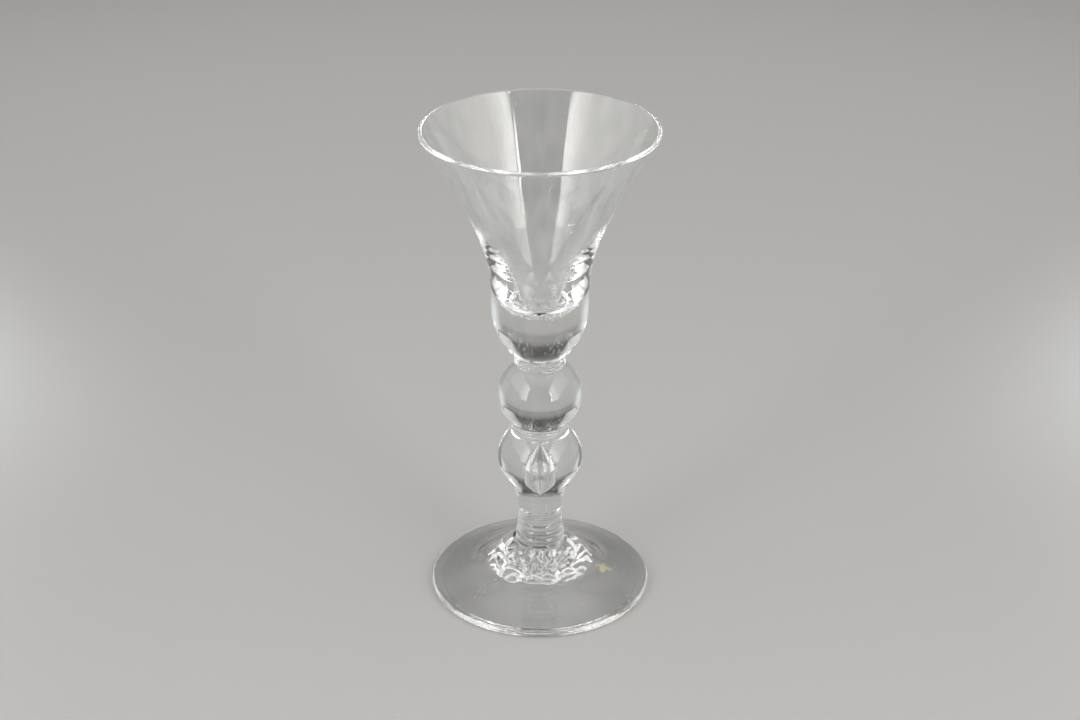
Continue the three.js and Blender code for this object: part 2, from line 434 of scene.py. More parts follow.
def drawn_out_noise(group, inside, **values):
    """Noise of a group's own Scale, drawn out by its Stretch."""
    place = add_node(group, "TexCoord").outputs["Object"]
    drawn = set_inputs(add_node(group, "Mapping"), Vector=place, Scale=inside.outputs["Stretch"])
    streaks = set_inputs(add_node(group, "TexNoise"), Scale=inside.outputs["Scale"], **values)
    return set_inputs(streaks, Vector=drawn.outputs["Vector"]).outputs["Fac"]


cords, inside, out = new_group(
    "glass cords",
    inputs=[("Scale", FLOAT, 120), ("Stretch", VECTOR, (1, 1, ALONG_AXIS))],
    outputs=[("Height", FLOAT)],
)
set_inputs(out, Height=drawn_out_noise(cords, inside, Detail=2, Roughness=0.45, Distortion=0.3))
print("built", cords.name)

# %% Fine scratches: short lines in patches
SCRATCH_TURNS = [math.radians(25), math.radians(112)]
LINE_SCALE = (1, 0.03, 0.3)  # the noise is drawn out into lines
LINE_FROM, LINE_TO = 0.68, 0.74  # only the peaks of the noise are lines


def worked_out(tree, operation, *values):
    """The output of a Math node, whose inputs are filled in order."""
    node = add_node(tree, "Math", operation=operation)
    for socket, value in zip(node.inputs, values):
        fill(socket, value)
    return node.outputs["Value"]


fine_scratches, inside, out = new_group(
    "fine scratches",
    inputs=[("Scale", FLOAT, 260), ("Patches", FLOAT, 45), ("Amount", FLOAT, 0.5)],
    outputs=[("Mask", FLOAT)],
)
place = add_node(fine_scratches, "TexCoord").outputs["Object"]
lines = []
for turn in SCRATCH_TURNS:
    lay = set_inputs(add_node(fine_scratches, "Mapping"), Vector=place, Rotation=(0, 0, turn))
    set_inputs(lay, Scale=LINE_SCALE)
    streaks = set_inputs(add_node(fine_scratches, "TexNoise"), Scale=inside.outputs["Scale"], Detail=1)
    set_inputs(streaks, Vector=lay.outputs["Vector"])
    thin = set_inputs(add_node(fine_scratches, "MapRange"), From_Min=LINE_FROM, From_Max=LINE_TO)
    lines.append(set_inputs(thin, Value=streaks.outputs["Fac"]).outputs["Result"])
patch = set_inputs(add_node(fine_scratches, "TexNoise"), Scale=inside.outputs["Patches"], Detail=3)
set_inputs(patch, Vector=place)
patch_edge = worked_out(fine_scratches, "SUBTRACT", 1, inside.outputs["Amount"])
in_patch = set_inputs(add_node(fine_scratches, "MapRange"), From_Min=patch_edge)
set_inputs(in_patch, Value=patch.outputs["Fac"])
either_line = worked_out(fine_scratches, "MAXIMUM", *lines)
set_inputs(out, Mask=worked_out(fine_scratches, "MULTIPLY", either_line, in_patch.outputs["Result"]))
print("built", fine_scratches.name, "in", len(lines), "directions")

# %% One scratch: a single line at a place
one_scratch, inside, out = new_group(
    "one scratch",
    inputs=[
        ("Place", VECTOR, (0, 0, 0)),
        ("Turn", FLOAT, 0),
        ("Reach", FLOAT, 2 * MM),
        ("Width", FLOAT, 0.2 * MM),
    ],
    outputs=[("Mask", FLOAT)],
)
place = add_node(one_scratch, "TexCoord").outputs["Object"]
apart = add_node(one_scratch, "VectorMath", operation="SUBTRACT")
fill(apart.inputs[0], place)
fill(apart.inputs[1], inside.outputs["Place"])
turned = add_node(one_scratch, "VectorRotate", rotation_type="Z_AXIS", invert=True)
set_inputs(turned, Vector=apart.outputs["Vector"], Angle=inside.outputs["Turn"])
parts = set_inputs(add_node(one_scratch, "SeparateXYZ"), Vector=turned.outputs["Vector"])
fades = []
for axis, limit in (("X", "Reach"), ("Y", "Width")):
    away = worked_out(one_scratch, "ABSOLUTE", parts.outputs[axis])
    fade = set_inputs(add_node(one_scratch, "MapRange"), Value=away, To_Min=1, To_Max=0)
    fades.append(set_inputs(fade, From_Max=inside.outputs[limit]).outputs["Result"])
set_inputs(out, Mask=worked_out(one_scratch, "MULTIPLY", *fades))
print("built", one_scratch.name)

# %% Tint: a colour that drifts in streaks between clear and faintly grey green
DRIFT_FROM, DRIFT_TO = 0.4, 0.62  # the part of the noise that goes from clear to tinted
tint, inside, out = new_group(
    "melt tint",
    inputs=[
        ("Clear", COLOR, (1, 1, 1, 1)),
        ("Tinted", COLOR, (0.95, 0.97, 0.96, 1)),
        ("Scale", FLOAT, 200),
        ("Stretch", VECTOR, (1, 1, 0.1)),
    ],
    outputs=[("Color", COLOR)],
)
contrast = set_inputs(add_node(tint, "MapRange"), From_Min=DRIFT_FROM, From_Max=DRIFT_TO)
set_inputs(contrast, Value=drawn_out_noise(tint, inside, Detail=2))
blend = set_inputs(add_node(tint, "Mix", data_type="RGBA"), Factor=contrast.outputs["Result"])
set_inputs(blend, A=inside.outputs["Clear"], B=inside.outputs["Tinted"])
set_inputs(out, Color=blend.outputs["Result"])
print("built", tint.name)

# %% [markdown]
# ## Clear glass
# Old table glass with lead in it bends light strongly, so its index of refraction is about 1.54. The surface
# was polished by fire and is nearly mirror smooth. A plain Glass shader would give that, but nothing else.
# Here the Principled shader takes a drifting tint, a little roughness along the scratches and wherever a
# mesh is painted as worn, and a very shallow bump from the cords. Every part of the glass uses this recipe
# with its own values.

# %% Cut single scratches into a surface
SCRATCH_WIDTH = 0.16 * MM
SCRATCH_DEPTH = 0.12 * MM
# Where the glass is scratched, in plan: x, y in mm, turn in degrees, length in mm
BOWL_SCRATCHES = [(2.8, -32, -68, 1.7), (8.9, -22.1, 25, 3.4), (-23, -20.8, -31, 1.9)]
FOOT_SCRATCHES = [
    (-20.2, -13.6, 70, 3.4), (-18.6, -13.2, 95, 4.4), (-17.6, -14.8, 120, 3.2), (-19.6, -15.8, 50, 3),
    (-18, -16.4, 80, 2.4), (-20.8, -16.2, 110, 2), (-14.6, -12.6, 25, 3), (-19.1, 2.2, 4, 3.4),
    (-23.6, 1.2, 0, 0.9), (21.6, 6.7, -40, 3), (28.3, -15.2, -74, 5), (4.3, -28, 84, 5),
    (5.8, -27.6, 84, 4), (13.4, -21, 35, 2.4),
]


def place_group(tree, group, **values):
    return set_inputs(add_node(tree, "Group", node_tree=group), **values)


def scratched_normal(tree, places, normal):
    """Cuts single scratches, each (x, y, turn, length), into a surface that has a normal already."""
    deepest = 0
    for x, y, turn, length in places:
        line = place_group(tree, one_scratch, Place=(x * MM, y * MM, 0), Turn=math.radians(turn))
        set_inputs(line, Reach=length * MM / 2, Width=SCRATCH_WIDTH)
        deepest = worked_out(tree, "MAXIMUM", deepest, line.outputs["Mask"])
    cut = set_inputs(add_node(tree, "Bump", invert=True), Strength=1, Distance=SCRATCH_DEPTH)
    return set_inputs(cut, Height=deepest, Normal=normal).outputs["Normal"]


print("single scratches:", len(BOWL_SCRATCHES), "on the bowl and", len(FOOT_SCRATCHES), "on the foot")

# %% A recipe for the glass of each part
GLASS_IOR = 1.54
CLEAR = (0.996, 1, 0.998, 1)
TINTED = (0.89, 0.915, 0.91, 1)
FOOT_TINTED = (0.975, 0.988, 0.985, 1)  # the foot is thin, so it is clearer


def new_material(name):
    """A material with a Principled shader, and its node tree."""
    material = bpy.data.materials.new(name)
    material.use_nodes = True
    return material, material.node_tree


def glass_material(
    name, cord_scale, cord_depth, wear, worn_roughness, along_axis=ALONG_AXIS, tinted=TINTED, scratched=()
):
    """Clear glass, worn a little, and cut by the single scratches that are listed for it."""
    material, tree = new_material(name)
    stretch = (1, 1, along_axis)
    colour = place_group(tree, tint, Clear=CLEAR, Tinted=tinted, Stretch=stretch)
    streaks = place_group(tree, cords, Scale=cord_scale, Stretch=stretch)
    marks = place_group(tree, fine_scratches, Amount=wear)
    painted = add_node(tree, "Attribute", attribute_name=WORN)
    most = worked_out(tree, "MAXIMUM", marks.outputs["Mask"], painted.outputs["Fac"])
    rough = set_inputs(add_node(tree, "MapRange"), Value=most, To_Max=worn_roughness)
    bump = set_inputs(add_node(tree, "Bump"), Strength=1, Distance=cord_depth)
    normal = set_inputs(bump, Height=streaks.outputs["Height"]).outputs["Normal"]
    if scratched:
        normal = scratched_normal(tree, scratched, normal)
    shader = set_inputs(tree.nodes["Principled BSDF"], Metallic=0, IOR=GLASS_IOR, Transmission_Weight=1)
    set_inputs(shader, Base_Color=colour.outputs["Color"], Roughness=rough.outputs["Result"], Normal=normal)
    print("mixed", material.name, "from", len(tree.nodes), "nodes")
    return material


# %% Mix the glass of each part
bowl_glass = glass_material(
    "bowl_glass", cord_scale=90, cord_depth=0.05 * MM, wear=0.42, worn_roughness=0.12,
    scratched=BOWL_SCRATCHES,
)
collar_glass = glass_material(
    "collar_glass", cord_scale=300, cord_depth=0.05 * MM, wear=0.4, worn_roughness=0.1, along_axis=1
)
stem_glass = glass_material("stem_glass", cord_scale=110, cord_depth=0.04 * MM, wear=0.4, worn_roughness=0.1)
foot_glass = glass_material(
    "foot_glass", cord_scale=90, cord_depth=0.05 * MM, wear=0.55, worn_roughness=0.3, along_axis=1,
    tinted=FOOT_TINTED, scratched=FOOT_SCRATCHES,
)

# %% [markdown]
# ## The fused joints
# Where two gathers were fused there is nothing to see, so the faces of the joint discs let every ray pass.
# The meshes could be joined into one instead, but the real pieces stay separate objects this way, and each
# one is still a closed solid.

# %% A finish that lets light straight through
fused_joint, tree = new_material("fused_joint")
set_inputs(tree.nodes["Principled BSDF"], Alpha=0)


def finish_piece(piece, node, glass):
    """Gives a piece its glass, and sets it in the frame in the place of its CAD node."""
    piece.data.materials.append(glass)
    piece.data.materials.append(fused_joint)
    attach(piece, "root")
    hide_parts(node)
    print(f"{piece.name}: {len(piece.data.polygons)} faces")


# %% [markdown]
# ## Bowl
# The bowl is a flared bell on a thick solid base, with a rounded well inside. Two small seeds of air were
# caught in its wall near the lip. A seed could be a separate ball, but air inside glass is a hollow: it is a
# closed shell in the bowl's own mesh, turned inside out, so that light bends the right way at it. The floor
# of the well was left lumpy when the bowl was shaped over it.

# %% Seeds: small hollows in the glass
SEED_SIDES = 16
SEED_RADIUS = 0.34 * MM
SEED_STRETCH = 1.3  # a seed is this much taller than wide
SEED_DEPTH = 0.75 * MM  # below the surface
# Where each seed lies: the radius and height of the surface over it, and its angle
SEEDS = [(33.4 * MM, 156 * MM, math.radians(103)), (33.3 * MM, 155.9 * MM, math.radians(15.6))]


def into_glass(node, radius, height, depth, angle):
    """The place that lies a depth below the surface nearest to (radius, height), at an angle."""
    points = fine_outline(node)[0]
    nearest = np.hypot(points[:, 0] - radius, points[:, 1] - height).argmin()
    r, z = points[nearest] - depth * outline_normals(points)[nearest]
    return np.array([r * math.cos(angle), r * math.sin(angle), z])


def seed_shell(radius, height, angle):
    """Vertices and faces of a seed, whose faces look into the hollow."""
    rises = np.linspace(-math.pi / 2, math.pi / 2, SEED_SIDES // 2 + 1)[1:-1]
    rings = [ring_at(math.cos(rise), math.sin(rise), evenly_round(SEED_SIDES)) for rise in rises]
    verts, steps = skin([[(0, 0, -1)], *rings, [(0, 0, 1)]])
    size = SEED_RADIUS * np.array([1, 1, SEED_STRETCH])
    faces = [face[::-1] for step in steps for face in step]
    return np.array(verts) * size + into_glass("bowl", radius, height, SEED_DEPTH, angle), faces


seeds = [seed_shell(*seed) for seed in SEEDS]
print("seeds:", len(seeds), "of", len(seeds[0][1]), "faces each")

# %% Make the bowl
FACING = 0.5  # a surface faces a way if its unit normal goes at least this far that way
LUMP_STEEPNESS = 4
WELL_TOP = 103 * MM  # the lumps fade out at this height
WELL_FADE = 2 * MM
WELL_LUMP = 1.7 * MM
WELL_DEPTH = 0.28 * MM
bowl_waves = slow_waves(seed=11, depth=0.03 * MM)


def lumps(angle, radius, height, size):
    """Uneven ridges about a size apart, mostly from -1 to 1, round one ring."""
    spots = [Vector((radius * math.cos(a), radius * math.sin(a), height)) / size for a in angle]
    return np.array([1 - LUMP_STEEPNESS * abs(noise.noise(spot)) for spot in spots])


def bowl_relief(angle, radius, height, normal):
    push = bowl_waves(angle, radius, height, normal)
    in_well = normal[0] <= 0 or normal[1] > FACING
    if in_well and height < WELL_TOP:
        fade = min(1, (WELL_TOP - height) / WELL_FADE)
        push = push + fade * WELL_DEPTH * lumps(angle, radius, height, WELL_LUMP)
    return push


bowl = turned_piece("bowl_bell", "bowl", bowl_relief, shells=seeds)
finish_piece(bowl, "bowl", bowl_glass)

# %% [markdown]
# ## Collars
# Two thin bands were wound on hot between the larger pieces. The upper one was pinched with pincers and is
# crinkled all round, and the lower one keeps the rings that it was turned with. A displacement texture could
# crinkle them; here the same ridged noise that made the lumps of the well is pushed into the rings of the
# mesh.

# %% Make the upper collar
BAND_STEP = 0.12 * MM
EDGE_CALM = 0.45 * MM  # the traces of the tools have grown to full depth this far from a joint
CRINKLE = 1.7 * MM
CRINKLE_LONGER = 1.5  # folds are this much longer round the band than up it
CRINKLE_DEPTH = 0.5 * MM


def crinkled(angle, radius, height, normal):
    """Short uneven folds, longer round the band than up it."""
    fade = calm_at_joints(height, EDGE_CALM)
    return fade * CRINKLE_DEPTH * lumps(angle, radius / CRINKLE_LONGER, height, CRINKLE)


upper_collar = turned_piece("upper_collar_band", "upper_collar", crinkled, BAND_STEP)
finish_piece(upper_collar, "upper_collar", collar_glass)

# %% Make the lower collar
RING_PITCH = 1.2 * MM
RING_DEPTH = 0.22 * MM
RING_WANDER = [(2, 0.25, 0), (5, 0.2, 1)]


def wander(angle, waves):
    """How far rings stray round a piece: a sum of waves, each (times round, radians, start)."""
    return sum(far * np.cos(times * angle + start) for times, far, start in waves)


def ringed(angle, radius, height, normal):
    """Fine rings, with a slight wander."""
    ring = np.cos(2 * math.pi * height / RING_PITCH + wander(angle, RING_WANDER))
    return calm_at_joints(height, EDGE_CALM) * RING_DEPTH * ring


lower_collar = turned_piece("lower_collar_band", "lower_collar", ringed, BAND_STEP)
finish_piece(lower_collar, "lower_collar", collar_glass)

# %% [markdown]
# ## Ball and baluster
# The ball and the two gathers of the baluster are solid, and work as lenses: they turn the room upside down.
# The two gathers close over a tear of air, which lies partly in each of them. Near the foot the shank keeps
# a few rings from the tool that drew it out, a fifth of a millimetre high, and those show as dark and pale
# bands. The rings could be a bump in the material, but only a real shape bends the view through the shank.

# %% Make the ball and the upper gather of the baluster
ball = turned_piece("ball_knop_solid", "ball_knop", slow_waves(seed=21, depth=0.03 * MM))
finish_piece(ball, "ball_knop", stem_glass)
head = turned_piece("baluster_head_gather", "baluster_head", slow_waves(seed=31, depth=0.02 * MM))
finish_piece(head, "baluster_head", stem_glass)

# %% Make the lower gather of the baluster
TOOL_RING = 2.5 * MM
TOOL_RING_DEPTH = 0.22 * MM
TOOL_RINGS_TOP = 31 * MM
TOOL_RINGS_FULL = 23 * MM  # from here down the rings have their full depth
TOOL_RING_WANDER = [(1, 0.35, 0.6), (3, 0.15, 0)]
shank_waves = slow_waves(seed=41, depth=0.02 * MM)
shank_foot = joint_levels[0]


def shank_relief(angle, radius, height, normal):
    push = shank_waves(angle, radius, height, normal)
    if normal[0] < FACING or height > TOOL_RINGS_TOP:
        return push
    fade = min(1, (TOOL_RINGS_TOP - height) / (TOOL_RINGS_TOP - TOOL_RINGS_FULL))
    stray = wander(angle, TOOL_RING_WANDER)
    ring = np.cos(2 * math.pi * (height - shank_foot) / TOOL_RING + stray)
    return push + fade * calm_at_joints(height, EDGE_CALM) * TOOL_RING_DEPTH * ring


shank = turned_piece("baluster_shank_gather", "baluster_shank", shank_relief)
finish_piece(shank, "baluster_shank", stem_glass)

# %% [markdown]
# ## A grain in the foot
# The foot holds one unmelted grain, straw coloured and shaped like a star. It could be a separate piece, but
# then it would share its space with the glass round it. So it is a hollow in the foot's own mesh, and the
# faces of that hollow have a finish of their own: a dull straw colour, speckled by noise.

# %% Shape the grain
GRAIN_REACH = 2.9 * MM
GRAIN_THICK = 0.25 * MM
GRAIN_ARMS = 4
GRAIN_STEPS = 48
GRAIN_CORE = 0.42  # between the arms it reaches this share as far
GRAIN_UNEVEN = 0.25  # one side reaches this share further, and the other less
GRAIN_UNEVEN_START = 1  # radians
GRAIN_SHOULDER = 0.5  # the share of its reach where it begins to thin out
GRAIN_SHOULDER_THICK = 0.7  # how thick it is there, against its middle
GRAIN_LEAN = math.radians(17)  # it lies along the slope of the foot
GRAIN_RADIUS, GRAIN_HEIGHT = 21.2 * MM, 6.6 * MM  # of the surface over it
GRAIN_ANGLE = math.radians(-9)
GRAIN_DEPTH = 0.5 * MM  # below the surface


def grain_shell(centre):
    """Vertices and faces of a thin star-shaped hollow, whose faces look into it."""
    turn = evenly_round(GRAIN_STEPS)
    reach = GRAIN_REACH * (GRAIN_CORE + (1 - GRAIN_CORE) * np.cos(turn * GRAIN_ARMS / 2) ** 2)
    reach = reach * (1 + GRAIN_UNEVEN * np.cos(turn + GRAIN_UNEVEN_START))
    outward = np.array([math.cos(GRAIN_ANGLE), math.sin(GRAIN_ANGLE), 0])
    around = np.array([-outward[1], outward[0], 0])
    downhill = outward * math.cos(GRAIN_LEAN) - np.array([0, 0, math.sin(GRAIN_LEAN)])
    flat = np.outer(np.cos(turn) * reach, downhill) + np.outer(np.sin(turn) * reach, around)
    thick = np.cross(downhill, around) * GRAIN_THICK / 2
    shoulder = flat * GRAIN_SHOULDER
    shoulder_thick = thick * GRAIN_SHOULDER_THICK
    rings = [[thick], shoulder + shoulder_thick, flat, shoulder - shoulder_thick, [-thick]]
    verts, steps = skin(rings)
    return centre + np.array(verts), [face for step in steps for face in step]


grain_middle = into_glass("foot", GRAIN_RADIUS, GRAIN_HEIGHT, GRAIN_DEPTH, GRAIN_ANGLE)
grain = grain_shell(grain_middle)
print("grain lies at, mm:", np.round(grain_middle / MM, 2).tolist())

# %% Colour the grain
DARK_STRAW = (0.74, 0.69, 0.46, 1)
PALE_STRAW = (0.95, 0.93, 0.74, 1)
grain_stone, tree = new_material("grain_stone")
place = add_node(tree, "TexCoord").outputs["Object"]
speckle = set_inputs(add_node(tree, "TexNoise"), Vector=place, Scale=900, Detail=3)
straw = set_inputs(add_node(tree, "ValToRGB"), Fac=speckle.outputs["Fac"])
straw.color_ramp.elements[0].color = DARK_STRAW
straw.color_ramp.elements[1].color = PALE_STRAW
set_inputs(tree.nodes["Principled BSDF"], Base_Color=straw.outputs["Color"], Roughness=0.7)
print("made", grain_stone.name)

# %% [markdown]
# ## Foot
# The foot is a shallow cone that is hollow below. Under its middle is a scar, where the rod that held the
# glass was broken off: a granular patch, which looks silvery from above because light can't get out through
# it. Round it the glass was pulled into shallow folds, and their edges show as thin white arcs. The cone
# itself was pressed with a paddle as it turned, and that left faint rings. A sculpted mesh could show all
# this, but a relief made of noise and rings can be changed by a few numbers.

# %% Traces on the foot
SCAR_REACH = 8.2 * MM
SCAR_EDGE = 2.05 * MM  # the scar grows to full depth over this width
SCAR_DEPTH = 0.5 * MM
SCAR_LUMP = 2 * MM
FOLDS_INNER, FOLDS_OUTER = 7 * MM, 17 * MM
FOLD_DEPTH = 0.4 * MM
FOLD_SIZE = 4 * MM
HOLLOW_ABOVE = 4 * MM  # the middle of the underside lies higher than this
PADDLE_RING = 3.1 * MM
PADDLE_DEPTH = 0.012 * MM
PADDLE_WANDER = [(1, 1, 0)]
CONE_INNER, CONE_OUTER = 13 * MM, 33 * MM


def under_middle(height, normal):
    """Whether a place lies on the hollow middle of the underside."""
    return normal[1] <= -FACING and height >= HOLLOW_ABOVE


def in_scar(radius, height, normal):
    """1 on the scar, falling to 0 at its edge and elsewhere."""
    if radius > SCAR_REACH or not under_middle(height, normal):
        return 0
    return min(1, (SCAR_REACH - radius) / SCAR_EDGE)


def swelling(x, start, stop):
    """0 up to start and from stop on, and 1 half way between them."""
    return math.sin(math.pi * (x - start) / (stop - start)) if start < x < stop else 0


print("scar", SCAR_REACH / MM, "mm and folds", FOLDS_OUTER / MM, "mm from the axis")

# %% Make the foot
FOOT_STEP = 0.3 * MM
REST_CALM = 2 * MM  # the foot's waves have grown to full depth at this height, so that it stands flat
GRAIN_SLOT = 2  # the foot's third material
foot_waves = slow_waves(seed=51, depth=0.03 * MM)


def foot_relief(angle, radius, height, normal):
    push = foot_waves(angle, radius, height, normal) * min(1, height / REST_CALM)
    if under_middle(height, normal):
        folds = FOLD_DEPTH * swelling(radius, FOLDS_INNER, FOLDS_OUTER)
        scar = SCAR_DEPTH * in_scar(radius, height, normal)
        push = push + folds * lumps(angle, radius, 0, FOLD_SIZE)
        push = push + scar * lumps(angle, radius, 0, SCAR_LUMP)
    elif normal[1] > FACING:
        ring = np.cos(2 * math.pi * radius / PADDLE_RING + wander(angle, PADDLE_WANDER))
        push = push + swelling(radius, CONE_INNER, CONE_OUTER) * PADDLE_DEPTH * ring
    return push


foot = turned_piece(
    "foot_disc", "foot", foot_relief, FOOT_STEP, worn=in_scar, shells=[grain], shell_slot=GRAIN_SLOT
)
finish_piece(foot, "foot", foot_glass)
foot.data.materials.append(grain_stone)

# %% [markdown]
# ## Floor and backdrop
# The glass stands on a sheet of pale paper that sweeps up into a low wall all round, so that no horizon
# line shows. A plane and a backdrop would do for one view, but a turned sheet serves every view. Clear glass
# shows its surroundings, so the paper far off is given painted tones: its own grey in front and behind, with
# painted shade that darkens it far off and up the wall, and a painted white glow at the two sides, which
# draws the bright edges of the solid pieces. Those tones reach only the eye and the glass, by way of the
# Light Path node, and add no light. Near the glass the paper mostly keeps its plain look, and so it holds
# the shadow.

# %% Lay the floor
FLOOR_REACH = 1.0
COVE_ROUND = 0.6
COVE_STEPS = 12
STAGE_SIDES = 96
FLOOR_GAP = 0.02 * MM  # keeps the paper and the foot's resting ring from sharing one plane


def turned_sheet(name, outline):
    """An open sheet turned about the axis from (radius, height) points, the first of them on the axis."""
    turn = evenly_round(STAGE_SIDES)
    middle = [(0, 0, outline[0][1])]
    verts, steps = skin([middle, *(ring_at(r, z, turn) for r, z in outline[1:])])
    sheet = mesh_object(name, verts, [face[::-1] for step in steps for face in step])
    return sheet


bend = np.linspace(0, math.pi / 2, COVE_STEPS + 1)
cove = [(FLOOR_REACH + COVE_ROUND * math.sin(a), COVE_ROUND * (1 - math.cos(a))) for a in bend]
floor = turned_sheet("floor", [(0, 0), (FLOOR_REACH / 2, 0), *cove])
floor.location.z = -FLOOR_GAP
print("floor reaches", cove[-1][0], "m out and", round(cove[-1][1], 2), "m up")

# %% Plain paper, and where a place on it lies
PAPER = 0.46  # how much light the paper gives back
floor_paper, tree = new_material("floor_paper")
paper = set_inputs(tree.nodes["Principled BSDF"], Base_Color=(PAPER, PAPER, PAPER, 1))
set_inputs(paper, Roughness=0.9, Specular_IOR_Level=0.1)
place = add_node(tree, "TexCoord").outputs["Object"]
height = set_inputs(add_node(tree, "SeparateXYZ"), Vector=place).outputs["Z"]
level = set_inputs(add_node(tree, "Mapping"), Vector=place, Scale=(1, 1, 0)).outputs["Vector"]
reach = set_inputs(add_node(tree, "VectorMath", operation="LENGTH"), Vector=level).outputs["Value"]
heading = set_inputs(add_node(tree, "VectorMath", operation="NORMALIZE"), Vector=level).outputs["Vector"]
heading_x = set_inputs(add_node(tree, "SeparateXYZ"), Vector=heading).outputs["X"]
sideways = worked_out(tree, "ABSOLUTE", heading_x)
floor.data.materials.append(floor_paper)
print("laid", floor_paper.name, "on", floor.name)

# %% Painted tones for the paper: shade far off and up the wall, a glow at the sides
NEAR_TONE = 0.45
# painted shade: the far paper and the wall are given these darker tones
FAR_SHADE_TONE = 0.3
WALL_SHADE_TONE = 0.06
# painted glow: the paper at the two sides glows white, though it is no lamp
SIDE_GLOW_TONE = 0.97
FAR_FROM, FAR_TO = 0.3, 1  # the painted far shade takes over between these distances
HIGH_FROM, HIGH_TO = 0.01, 0.3  # painted shade darkens the tone in front and behind between these heights
SIDE_FROM, SIDE_TO = 0.55, 0.95  # where a place counts as at the side, by its direction's x
SIDE_NEAR, SIDE_FULL = 0.08, 0.4  # the painted white glow at the sides grows between these distances
WARM_WHITE = (1, 0.975, 0.945, 1)
SIDE_GLOW_WHITE = (0.94, 0.975, 1, 1)


def eased(tree, source, start, stop, low=0, high=1):
    """A smooth step from low to high, as the source goes from start to stop."""
    step = add_node(tree, "MapRange", interpolation_type="SMOOTHSTEP")
    set_inputs(step, Value=source, From_Min=start, From_Max=stop, To_Min=low, To_Max=high)
    return step.outputs["Result"]


far = eased(tree, reach, FAR_FROM, FAR_TO)
# painted shade: the tone darkens farther from the glass
across = eased(tree, far, 0, 1, NEAR_TONE, FAR_SHADE_TONE)
# painted shade: the tone darkens up the wall
falling = eased(tree, height, HIGH_FROM, HIGH_TO, across, WALL_SHADE_TONE)
at_side = eased(tree, sideways, SIDE_FROM, SIDE_TO)
# painted glow: white at the two sides, which draws the bright edges of the solid pieces
white = worked_out(tree, "MULTIPLY", at_side, eased(tree, reach, SIDE_NEAR, SIDE_FULL))
brightness = eased(tree, white, 0, 1, falling, SIDE_GLOW_TONE)
hue = set_inputs(add_node(tree, "Mix", data_type="RGBA"), Factor=white, A=WARM_WHITE, B=SIDE_GLOW_WHITE)
tone = set_inputs(add_node(tree, "Emission"), Color=hue.outputs["Result"], Strength=brightness)
print("tones: near", NEAR_TONE, "far", FAR_SHADE_TONE, "high", WALL_SHADE_TONE, "side", SIDE_GLOW_TONE)

# %% Who sees the painted tones
NEAR_SHARE = 0.28  # how much of the near paper's look is even tone; the rest is light and shadow
path = add_node(tree, "LightPath")
seen = worked_out(tree, "MAXIMUM", path.outputs["Is Camera Ray"], path.outputs["Is Glossy Ray"])
seen = worked_out(tree, "MAXIMUM", seen, path.outputs["Is Transmission Ray"])
# far off and at the sides the paper shows only its painted shade and glow
share = eased(tree, worked_out(tree, "MAXIMUM", far, white), 0, 1, NEAR_SHARE, 1)
either = set_inputs(add_node(tree, "MixShader"), Fac=worked_out(tree, "MULTIPLY", seen, share))
fill(either.inputs[1], paper.outputs["BSDF"])
fill(either.inputs[2], tone.outputs["Emission"])
set_inputs(tree.nodes["Material Output"], Surface=either.outputs["Shader"])
print(floor_paper.name, "has", len(tree.nodes), "nodes")

# %% [markdown]
# ## Studio light
# Two soft walls of light stand left and right of the glass, under a dim ceiling. Their reflections are what
# makes clear glass visible: each wall is brightest at its front edge and fades towards the back, so every
# round piece shows two pale halves with a dark gap between them. Area lamps would do, but a glowing mesh can
# carry the fade as a vertex attribute. The walls hang high enough to stay out of every view.

# %% How bright a wall is at a place
WALL_AWAY = 0.75
FRONT_AZIMUTH = math.radians(35)  # where the front edges stand, seen from the glass
WALL_FRONT = -WALL_AWAY / math.tan(FRONT_AZIMUTH)
WALL_BACK = 1.9
WALL_BOTTOM = 0.12
WALL_BOTTOM_MIDDLE = 0.3  # its foot is raised beside the glass, where a view from the side would see it
MIDDLE_FROM, MIDDLE_TO = 0.38, 0.6
WALL_TOP = 1.35
FRONT_FADE, FRONT_FADE_FROM, FRONT_FADE_TO = 0.6, WALL_FRONT + 0.17, WALL_FRONT + 0.78
MIDDLE_FADE, MIDDLE_FADE_FROM, MIDDLE_FADE_TO = 0.25, -0.3, 0.6
SOFT_BOTTOM, SOFT_TOP = 0.05, 0.3  # the glow grows over these heights


def wall_foot(y):
    """How high a wall's lower edge is."""
    return WALL_BOTTOM_MIDDLE + (WALL_BOTTOM - WALL_BOTTOM_MIDDLE) * ease(abs(y), MIDDLE_FROM, MIDDLE_TO)


def wall_glow(y, z):
    """The share of its full brightness: 1 at the front edge, with a soft foot, top and back."""
    front = FRONT_FADE * ease(y, FRONT_FADE_FROM, FRONT_FADE_TO)
    middle = MIDDLE_FADE * ease(y, MIDDLE_FADE_FROM, MIDDLE_FADE_TO)
    tail = 1 - ease(y, MIDDLE_FADE_TO, WALL_BACK)
    foot = ease(z, wall_foot(y), wall_foot(y) + SOFT_BOTTOM)
    top = 1 - ease(z, WALL_TOP - SOFT_TOP, WALL_TOP)
    return (1 - front - middle) * tail * foot * top


print("glow beside the glass:", round(wall_glow(0, (WALL_BOTTOM_MIDDLE + WALL_TOP) / 2), 2))

# %% Hang the walls of light
WALL_STEPS = 48
WALL_RADIANCE = 5.5
GLOW = "glow"  # the name of the brightness that each vertex carries
soft_light, tree = new_material("soft_light")
carried = add_node(tree, "Attribute", attribute_name=GLOW)
light = set_inputs(add_node(tree, "Emission"), Color=WARM_WHITE, Strength=carried.outputs["Fac"])
set_inputs(tree.nodes["Material Output"], Surface=light.outputs["Emission"])


